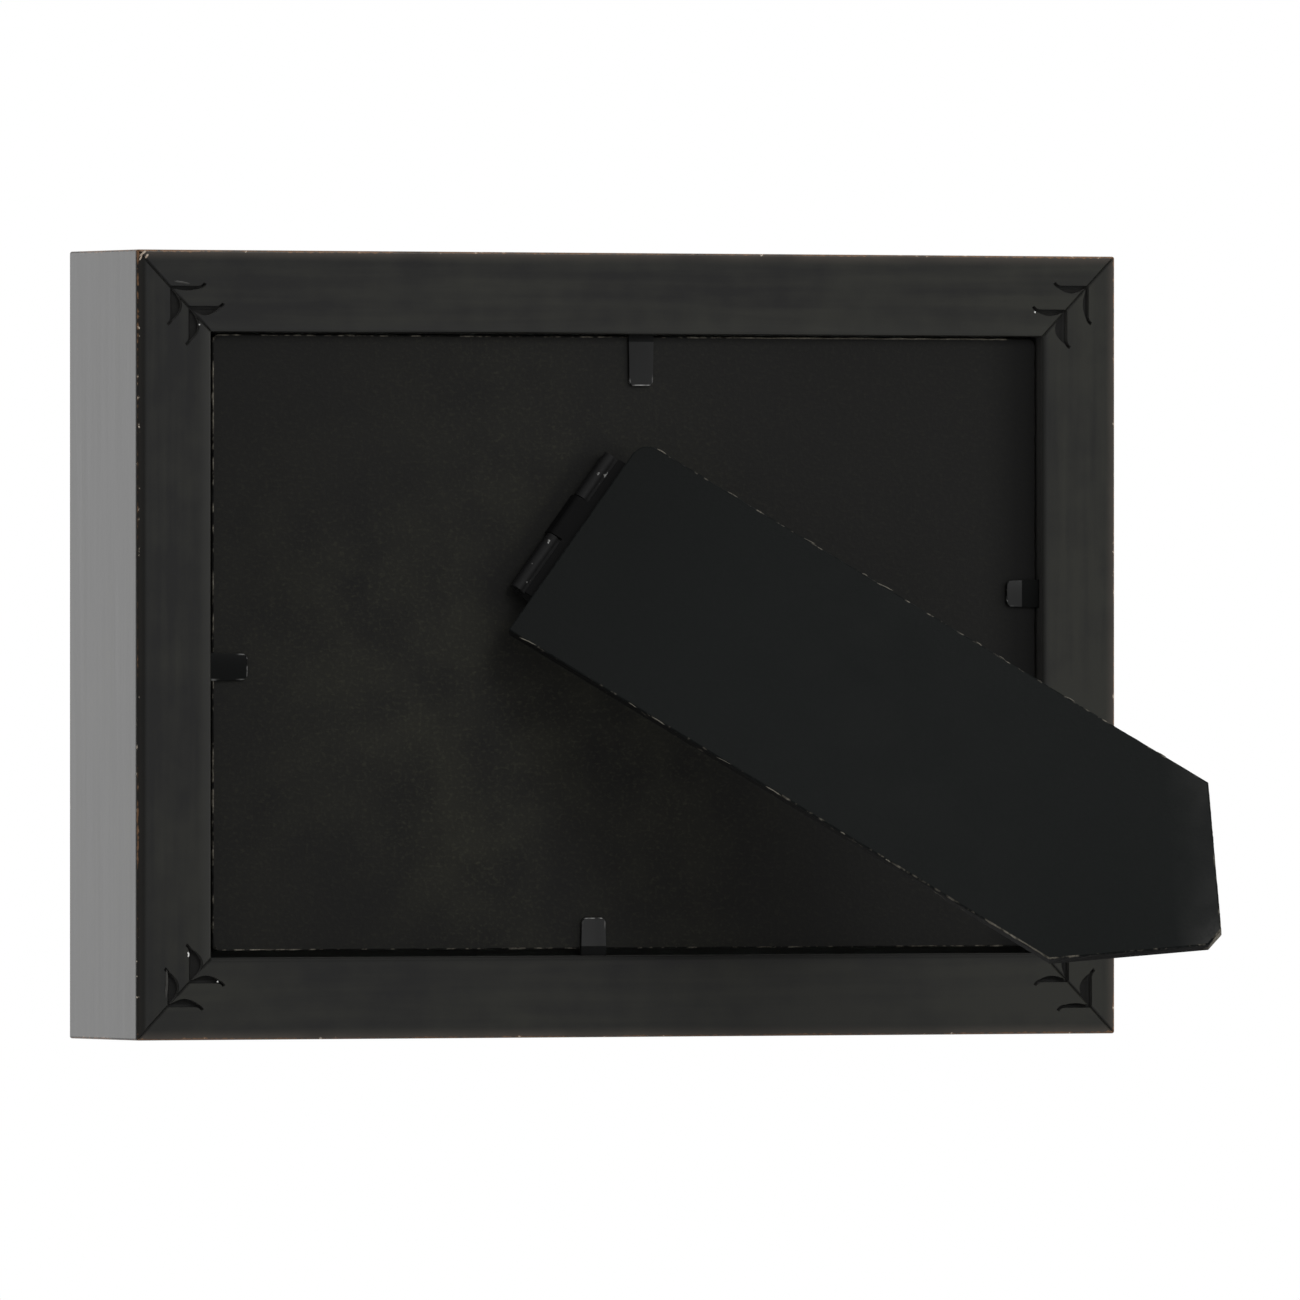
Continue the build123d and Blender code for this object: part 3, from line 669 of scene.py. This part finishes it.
def sawn_panel(node_name, name, out, face_finish, rim_finish, edge_finish):
    """A hardboard node's own shape with its sawn outline cut fine, and its outer arris eased and frayed."""
    piece = copy_of_node(node_name, name, face_finish, rim_finish, edge_finish)
    shape = bmesh.from_edit_mesh(piece.data)
    corners = [vertex.co.copy() for vertex in shape.verts]
    levels = [corner.dot(out) for corner in corners]
    low, high = min(levels), max(levels)

    def pick_rim(shortest, level):
        """Selects the edges of the outline that are long enough and lie on that level or above."""
        bpy.ops.mesh.select_mode(type="EDGE")
        bpy.ops.mesh.select_all(action="DESELECT")
        shape = bmesh.from_edit_mesh(piece.data)
        for edge in shape.edges:
            ends = [vertex.co.dot(out) for vertex in edge.verts]
            flat = abs(ends[0] - ends[1]) < SAME_LEVEL and ends[0] > level - SAME_LEVEL
            sides = [face.normal for face in edge.link_faces if abs(face.normal.dot(out)) < STANDS_ON_EDGE]
            if flat and len(sides) == 1 and edge.calc_length() > shortest:
                start = edge.verts[0].co
                beyond = max((corner - start).dot(sides[0]) for corner in corners)
                edge.select_set(beyond < 2 * SAME_LEVEL)
        bmesh.update_edit_mesh(piece.data)

    pick_rim(OUTLINE_SHORTEST, low)
    bpy.ops.mesh.subdivide(number_cuts=OUTLINE_CUTS)
    pick_rim(0.0, high)
    bpy.ops.mesh.bevel(offset=EASED, segments=2, affect="EDGES", material=1)
    shape = bmesh.from_edit_mesh(piece.data)
    for vertex in shape.verts:
        vertex.select_set(vertex.select and vertex.co.dot(out) < high - SAME_LEVEL)
    bpy.ops.mesh.select_mode(type="VERT")
    bmesh.update_edit_mesh(piece.data)
    bpy.ops.transform.vertex_random(offset=TORN, uniform=1.0, seed=TORN_SEED)
    bpy.ops.mesh.select_all(action="SELECT")
    bpy.ops.mesh.quads_convert_to_tris(quad_method="BEAUTY", ngon_method="BEAUTY")
    bpy.ops.object.mode_set(mode="OBJECT")
    for face in piece.data.polygons:
        if face.material_index == 0 and abs(face.normal.dot(out)) < STANDS_ON_EDGE:
            face.material_index = 2
    bpy.ops.object.shade_flat()
    return piece


board_face = hardboard("board_face", BOARD_DARK, BOARD_RUBBED_AND_LIT, BOARD_FLECK, patch_and_hinge_shadow, shade_on_board)
board_rim = frayed_rim("board_rim", BOARD_DARK, bare=0.18, frayed_more=along_top)
# Across the margin of painted shadow, and at the leg's foot, which lies beyond it, the sawn edges are bare and
# pale.
sawn_edge = frayed_rim("sawn_edge", BOARD_SAWN_AND_SHADE, bare=-0.1, frayed_more=shadow_margin)
back_panel = sawn_panel("backboard", "back_panel", back_out, board_face, board_rim, sawn_edge)
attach(back_panel, "frame")
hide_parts("backboard")

# Tabs: strips of blacked spring steel fired into the rabbet wall with their ends left out over the
# board. Each is one strip, sliced finely across where the tab bends as it leaves the wood, blacked
# all over, with the shear's bright edge round its tip, which is turned up a little for a finger nail.
TAB_REACH = {"bottom": 0.0063, "left": 0.00605, "top": 0.0085, "right": 0.0071}
TAB_ROOT_WIDTH = 0.0046
TAB_TIP_WIDTH = 0.0043
TAB_TIP_RADIUS = 0.0009
TAB_TIP_STEPS = 5
TAB_THICKNESS = 0.00045
TAB_SHANK = 0.008
TAB_BEND = 0.0006
TAB_BEND_STEPS = 4
TAB_TURNED_UP = 0.0012
TAB_TURN = radians(5)
SHEARED_EDGE = 0.00009
SHEARED_CORNER = radians(50)
TAB_SMOOTH = radians(35)
BLACKED_STEEL = (0.0050, 0.0053, 0.0052, 1)
SHEARED_STEEL = (0.62, 0.62, 0.60, 1)
# Each tab's gloss, set per tab as painted light and shade; the length and gloss of its root's painted shadow,
# where the rail shades it; the skin it has kept and its worn root.
TAB_SHADING_GLOSS = {"bottom": 0.31, "left": 0.224, "top": 0.172, "right": 0.031}
TAB_SHADOWED_ROOT = {"bottom": 0.0016, "left": 0.0032, "top": 0.0013, "right": 0.0}
TAB_SHADOWED_ROOT_GLOSS = {"bottom": 0.06, "left": 0.025, "top": 0.06, "right": 0.06}
TAB_KEPT = {"bottom": 0.43, "left": 0.52, "top": 0.38, "right": 0.47}
TAB_ROOT_WORN = {"bottom": 0.0, "left": 0.0, "top": 0.0, "right": 0.14}
# The skin's patterns, in spots to a metre, and the bright bands in metres from an edge.
SKIN_MARKS = 1600
SHEAR_NICKS = 560
NICK_EDGE = 0.2
BRIGHT_SIDE = (0.00025, 0.0001)
BRIGHT_END = (0.0022, 0.001)
BRIGHT_END_SHARE = 0.16
BRIGHT_ROOT = (0.0022, 0.0012)
BRIGHT_TIP = (0.0002, 0.00008)
SKIN_ROUGHNESS = 0.25
SKIN_MARK_ROUGHNESS = 0.25
SKIN_RELIEF = 0.000008


def tab_strip(longest):
    """The pattern for the tabs, flat, with the bend at the origin, the tip along Y and the back up Z."""
    bpy.ops.object.select_all(action="DESELECT")
    bpy.ops.mesh.primitive_cube_add(size=1)
    piece = bpy.context.object
    tip = longest - TAB_BEND
    shank = TAB_SHANK + TAB_BEND
    piece.scale = (TAB_ROOT_WIDTH, shank + tip, TAB_THICKNESS)
    piece.location = (0, (tip - shank) / 2, 0)
    bpy.ops.object.transform_apply(location=True, rotation=False, scale=True)
    bpy.ops.object.mode_set(mode="EDIT")
    slice_at((0.0,), (0, 1, 0))
    pick(piece, lambda at: at.y > tip - HAIR)
    bpy.ops.transform.resize(value=(TAB_TIP_WIDTH / TAB_ROOT_WIDTH, 1, 1))
    shape = bmesh.from_edit_mesh(piece.data)
    for edge in shape.edges:
        ends = [vertex.co for vertex in edge.verts]
        at_tip = all(end.y > tip - HAIR for end in ends)
        edge.select_set(at_tip and abs(ends[0].z - ends[1].z) > TAB_THICKNESS / 2)
    bpy.ops.mesh.select_mode(type="EDGE")
    bmesh.update_edit_mesh(piece.data)
    bpy.ops.mesh.bevel(offset=TAB_TIP_RADIUS, segments=TAB_TIP_STEPS, affect="EDGES")
    steps = range(-TAB_BEND_STEPS, TAB_BEND_STEPS + 1)
    slice_at([TAB_BEND * step / TAB_BEND_STEPS for step in steps], (0, 1, 0))
    turns = (tip - TAB_TURNED_UP, tip - TAB_TURNED_UP / 2)
    slice_at(turns, (0, 1, 0))
    for turned in turns:
        pick(piece, lambda at: at.y > turned + SAME_LEVEL)
        bpy.ops.transform.rotate(value=-TAB_TURN, orient_axis="X", center_override=(0, turned, 0))
    bpy.ops.mesh.select_all(action="SELECT")
    bpy.ops.mesh.normals_make_consistent(inside=False)
    bpy.ops.object.mode_set(mode="OBJECT")
    eased = piece.modifiers.new("sheared_edge", "BEVEL")
    eased.width = SHEARED_EDGE
    eased.segments = 2
    eased.angle_limit = SHEARED_CORNER
    bpy.ops.object.modifier_apply(modifier=eased.name)
    return piece


def blacked_steel(name, joint, reach, gloss, kept, root_worn):
    """Blacked spring steel, worn at its root, and bright round its tip where it hasn't kept its skin."""
    finish, tree, shader, place = new_finish(name)
    marks = mottle(tree, place, SKIN_MARKS, detail=3)
    nicks = mottle(tree, place, SHEAR_NICKS)
    bend = Vector(joint["pos_m"])
    across = Vector(joint["axis"])
    run = run_along(tree, place, bend, back_out.cross(across))
    aside = calc(tree, "ABSOLUTE", run_along(tree, place, bend, across))
    tip = reach - TAB_BEND
    end = calc(tree, "MULTIPLY", nearing(tree, run, tip, BRIGHT_END), BRIGHT_END_SHARE)
    root = calc(tree, "MULTIPLY", between(tree, run, *BRIGHT_ROOT), root_worn)
    side = nearing(tree, aside, TAB_TIP_WIDTH / 2, BRIGHT_SIDE)
    side = calc(tree, "MULTIPLY", side, calc(tree, "MAXIMUM", end, root))
    bright = calc(tree, "MAXIMUM", nearing(tree, run, tip, BRIGHT_TIP), side)
    bright = calc(tree, "MULTIPLY", bright, between(tree, nicks, kept, kept + NICK_EDGE))
    tree.links.new(bright, shader.inputs["Metallic"])
    colour = tinted(tree, bright, BLACKED_STEEL, SHEARED_STEEL)
    roughness = calc(tree, "MULTIPLY_ADD", marks, SKIN_MARK_ROUGHNESS, SKIN_ROUGHNESS)
    dress(tree, shader, colour, roughness, marks, SKIN_RELIEF, gloss)
    return finish


longest = max(TAB_REACH.values())
pattern = tab_strip(longest)
for side, reach in TAB_REACH.items():
    joint = joints[f"tab_{side}_bend"]
    bend = Vector(joint["pos_m"])
    across = Vector(joint["axis"])
    along = back_out.cross(across)
    strip = bpy.data.objects.new(f"tab_{side}", pattern.data.copy())
    bpy.context.scene.collection.objects.link(strip)
    select_only(strip)
    bpy.ops.object.mode_set(mode="EDIT")
    pick(strip, lambda at: at.y > 2 * TAB_BEND)
    bpy.ops.transform.translate(value=(0, reach - longest, 0))
    # The root next to the wall takes a second, less glossy steel, as the rail's painted shadow.
    shadowed_root_end = TAB_SHADOWED_ROOT[side] - TAB_BEND
    slice_at((shadowed_root_end,), (0, 1, 0))
    bpy.ops.object.mode_set(mode="OBJECT")
    for face in strip.data.polygons:
        face.material_index = int(face.center.y < shadowed_root_end)
    strip.data.transform(Matrix.Translation(bend) @ Matrix((across, along, back_out)).transposed().to_4x4())
    kept, root_worn = TAB_KEPT[side], TAB_ROOT_WORN[side]
    # Each tab's gloss is its own, as painted light and shade.
    skin = blacked_steel(f"blacked_steel_{side}", joint, reach, TAB_SHADING_GLOSS[side], kept, root_worn)
    strip.data.materials.append(skin)
    shadowed_root_steel = metal(f"shadowed_root_steel_{side}", BLACKED_STEEL, SHEARED_STEEL, worn=0.03, dull=0.6,
                       gloss=TAB_SHADOWED_ROOT_GLOSS[side])
    strip.data.materials.append(shadowed_root_steel)
    bpy.ops.object.shade_smooth_by_angle(angle=TAB_SMOOTH)
    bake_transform(strip)
    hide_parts(f"tab_{side}_shank", f"tab_{side}_blade")
bpy.data.objects.remove(pattern)

# Hinge: two stamped steel leaves with rolled knuckles on a wire pin, one leaf riveted to the
# board and one to the inside of the leg, all lacquered black. The lacquer is worn grey on the
# knuckles, and the heel of the leg's leaf lands on the board to stop the leg.
LACQUER = (0.0055, 0.0055, 0.0056, 1)
LACQUER_MATT = (0.0035, 0.0035, 0.0036, 1)
WORN_STEEL = (0.30, 0.30, 0.29, 1)
hinge_black = metal("hinge_black", LACQUER, WORN_STEEL, worn=0.32, dull=0.5, gloss=0.15)
hinge_matt = metal("hinge_matt", LACQUER_MATT, WORN_STEEL, worn=0.26, dull=0.5, gloss=0.06)
pin_steel = metal("pin_steel", BLUED_STEEL, WORN_STEEL, worn=0.4)
coat("hinge_board_leaf", hinge_black)
coat("hinge_leg_leaf", hinge_matt)
coat("hinge_pin", pin_steel)
for group in ("board_rivets", "leg_rivets"):
    coat(group, hinge_black)

# Leg: a strip of the same hardboard, sawn with two foot edges so that the frame can stand
# either way, riveted to the hinge. The saw has left its long edges frayed and pale.
LEG_DARK = (0.0050, 0.0060, 0.0058, 1)
LEG_RUBBED = (0.0480, 0.0480, 0.0465, 1)
LEG_FLECK = (0.011, 0.0124, 0.012, 1)
# Where the leg is scuffed, a little lighter along its middle, frayed more or darker towards the hinge end, in
# metres from an edge or the hinge.
SCUFFED_BAND = (0.0075, 0.0005)
MIDDLE_LIGHTER_FROM = (0.012, 0.055)
MIDDLE_LIGHTER_TO = (0.115, 0.075)
MIDDLE_LIGHTER_SHARE = 0.06
FRAYED_SIDE = (0.001, 0.0004)
FRAYED_RUN = (0.05, 0.012)
FRAYED_MORE = 0.17
GUARDED_RUN = (0.0052, 0.0042)
GUARDED_MORE = -0.8
HINGE_END_RUN = (0.03, 0.0)
HINGE_END_SHARE = 0.3
# The loose fibres along its two long edges, in metres, and their turn either way.
FIBRES_SEED = 11
FIBRES_START = 0.0075
FIBRES_STOP = 0.003
FIBRE_LENGTH = (0.0008, 0.0032)
FIBRE_WIDTH = (0.00008, 0.00018)
FIBRE_GAP = (0.002, 0.024)
FIBRE_TURN = 6
FIBRE_SUNK = 0.00004
leg_out = Matrix.Rotation(radians(-leg_joint["range_deg"][0]), 3, hinge_along) @ back_out
leg_down = leg_out.cross(hinge_along)
at_leg = Matrix((hinge_along, leg_down, leg_out)).transposed().to_4x4()
at_leg = Matrix.Translation(hinge_middle) @ at_leg
corners = [at_leg.inverted() @ vertex.co for vertex in frame["nodes"]["easel_leg"].data.vertices]
half = max(corner.x for corner in corners)
outer_face = max(corner.z for corner in corners)
foot_corner = max((corner for corner in corners if corner.x < HAIR - half), key=lambda corner: corner.y)
foot_tip = max(corners, key=lambda corner: corner.y)
foot_edge = (at_leg.to_3x3() @ (foot_tip - foot_corner)).normalized()


def rubbed_at_foot(tree, place):
    """The foot, which is scuffed by the table, most along the edge for portrait, and a little the middle."""
    inward = run_along(tree, place, at_leg @ foot_corner, foot_edge.cross(leg_out))
    scuffed = between(tree, calc(tree, "ABSOLUTE", inward), *SCUFFED_BAND)
    run = run_along(tree, place, hinge_middle, leg_down)
    lighter_middle = calc(tree, "MULTIPLY", between(tree, run, *MIDDLE_LIGHTER_FROM), between(tree, run, *MIDDLE_LIGHTER_TO))
    return calc(tree, "MAXIMUM", scuffed, calc(tree, "MULTIPLY", lighter_middle, MIDDLE_LIGHTER_SHARE))


def clear_of_hinge(tree, place):
    """None at the end that the hinge guards, and more where one long edge meets the foot."""
    run = run_along(tree, place, hinge_middle, leg_down)
    far = max(corner.y for corner in corners if corner.x > half - HAIR)
    aside = nearing(tree, run_along(tree, place, hinge_middle, hinge_along), half, FRAYED_SIDE)
    more = calc(tree, "MULTIPLY", aside, nearing(tree, run, far, FRAYED_RUN))
    guarded = calc(tree, "MULTIPLY", between(tree, run, *GUARDED_RUN), GUARDED_MORE)
    return calc(tree, "MULTIPLY_ADD", more, FRAYED_MORE, guarded)


def darker_hinge_end(tree, place):
    """Darker towards the end beside the hinge."""
    run = run_along(tree, place, hinge_middle, leg_down)
    return calc(tree, "MULTIPLY", between(tree, run, *HINGE_END_RUN), HINGE_END_SHARE)


leg_face = hardboard("leg_face", LEG_DARK, LEG_RUBBED, LEG_FLECK, rubbed_at_foot, darker_hinge_end)
leg_rim = frayed_rim("leg_rim", LEG_DARK, bare=0.16, frayed_more=clear_of_hinge)
leg_panel = sawn_panel("easel_leg", "leg_panel", leg_out, leg_face, leg_rim, sawn_edge)
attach(leg_panel, "leg")
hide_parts("easel_leg")

draw = Random(FIBRES_SEED)
fibres = []
for edge in (-half, half):
    end = max(corner.y for corner in corners if abs(corner.x - edge) < HAIR)
    run = FIBRES_START
    while run < end - FIBRES_STOP:
        length = draw.uniform(*FIBRE_LENGTH)
        spot = Matrix.Translation((edge, run, outer_face - FIBRE_SUNK))
        turn = Matrix.Rotation(pi / 2 + radians(draw.uniform(-FIBRE_TURN, FIBRE_TURN)), 4, "Z")
        width = draw.uniform(*FIBRE_WIDTH)
        fibres.append(at_leg @ spot @ turn @ Matrix.Diagonal((length, width, width, 1)))
        run += length + draw.uniform(*FIBRE_GAP)
leg_fibres = strew("leg_fibres", sliver, fibres)
pale_fibre = torn_fibres("pale_fibre", BOARD_FLECK, FIBRE_PALE, FRAY_STRANDS, rough=0.7, relief=BOARD_RELIEF)
leg_fibres.data.materials.append(pale_fibre)
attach(leg_fibres, "leg")
bpy.data.objects.remove(sliver)

# Floor: a pale studio table, clear from below, because the photograph looks up at the back
# from under the table's level. Soft white light comes from all round, with a softbox high on the
# camera's right, one far out to the right, and one in front that glances off the frame's side.
WHITE = (1, 1, 1, 1)
FLOOR_SIZE = 4
FLOOR_GREY = (0.8, 0.8, 0.8, 1)
FLOOR_ROUGHNESS = 0.9
SEEN_STRENGTH = 1.0
SOFT_STRENGTH = 0.5
bpy.ops.object.select_all(action="DESELECT")
bpy.ops.mesh.primitive_plane_add(size=FLOOR_SIZE)
floor = bpy.context.object
floor.name = "floor"
floor_finish = bpy.data.materials.new("floor_finish")
floor_finish.use_nodes = True
tree = floor_finish.node_tree
shader = tree.nodes["Principled BSDF"]
shader.inputs["Base Color"].default_value = FLOOR_GREY
shader.inputs["Roughness"].default_value = FLOOR_ROUGHNESS
white = add_node(tree, "ShaderNodeEmission", {"Color": WHITE, "Strength": SEEN_STRENGTH}).outputs[0]
mirrored = add_node(tree, "ShaderNodeLightPath").outputs["Is Glossy Ray"]
lit = add_node(tree, "ShaderNodeMixShader", {0: mirrored, 1: shader.outputs["BSDF"], 2: white}).outputs[0]
under = add_node(tree, "ShaderNodeNewGeometry").outputs["Backfacing"]
clear = add_node(tree, "ShaderNodeBsdfTransparent").outputs["BSDF"]
mixed = add_node(tree, "ShaderNodeMixShader", {0: under, 1: lit, 2: clear})
tree.links.new(mixed.outputs[0], tree.nodes["Material Output"].inputs["Surface"])
floor.data.materials.append(floor_finish)

world = bpy.data.worlds.new("studio")
bpy.context.scene.world = world
world.use_nodes = True
tree = world.node_tree
soft = tree.nodes["Background"]
soft.inputs["Color"].default_value = WHITE
soft.inputs["Strength"].default_value = SOFT_STRENGTH
white = add_node(tree, "ShaderNodeBackground", {"Color": WHITE, "Strength": SEEN_STRENGTH})
rays = add_node(tree, "ShaderNodeLightPath").outputs
seen = calc(tree, "MAXIMUM", rays["Is Camera Ray"], rays["Is Glossy Ray"])
seen = calc(tree, "MAXIMUM", seen, rays["Is Transmission Ray"])
mixed = add_node(tree, "ShaderNodeMixShader", {0: seen, 1: soft.outputs[0], 2: white.outputs[0]})
tree.links.new(mixed.outputs[0], tree.nodes["World Output"].inputs["Surface"])


def softbox(name, toward, distance, size, power, mirrored=True):
    """A square softbox on that side of the upright frame, aimed at its back, and mirrored in it or not."""
    lamp = bpy.data.lights.new(name, "AREA")
    lamp.size = size
    lamp.energy = power
    holder = bpy.data.objects.new(name, lamp)
    bpy.context.scene.collection.objects.link(holder)
    away = (upright.to_3x3() @ Vector(toward)).normalized()
    holder.location = back_middle + away * distance
    holder.rotation_euler = away.to_track_quat("Z", "Y").to_euler()
    holder.visible_glossy = mirrored


softbox("key", toward=(-0.25, 1.0, 0.75), distance=1.4, size=0.5, power=6.5)
softbox("side", toward=(-0.93, 0.36, 0.15), distance=1.2, size=0.8, power=11, mirrored=False)
softbox("rim", toward=(0.438, -0.899, 0.0), distance=1.2, size=0.8, power=3.9)

# Camera: a long lens that leans as the frame does and looks at its back from one side, with
# its picture shifted so that the frame stands where the photograph has it.
CAMERA_TURN = radians(25.78)
CAMERA_DISTANCE = 4.2
CAMERA_FILM = 36
CAMERA_SIGHT = 100
PIXELS = 1300
PIXELS_PER_METRE = 6030.9
MIDDLE_PIXEL = (630.7, 645.0)
sight = upright.to_3x3() @ Vector((sin(CAMERA_TURN), cos(CAMERA_TURN), 0))
facing = Matrix((frame_up.cross(sight), frame_up, sight)).transposed().to_4x4()
camera_data = bpy.data.cameras.new("camera")
camera_data.sensor_width = CAMERA_FILM
camera_data.lens = CAMERA_FILM * CAMERA_DISTANCE * PIXELS_PER_METRE / PIXELS
camera_data.clip_end = CAMERA_SIGHT
camera_data.shift_x = (PIXELS / 2 - MIDDLE_PIXEL[0]) / PIXELS
camera_data.shift_y = (MIDDLE_PIXEL[1] - PIXELS / 2) / PIXELS
camera = bpy.data.objects.new("camera", camera_data)
bpy.context.scene.collection.objects.link(camera)
camera.matrix_world = Matrix.Translation(back_middle + sight * CAMERA_DISTANCE) @ facing
bpy.context.scene.camera = camera
bpy.context.scene.view_settings.view_transform = "Standard"
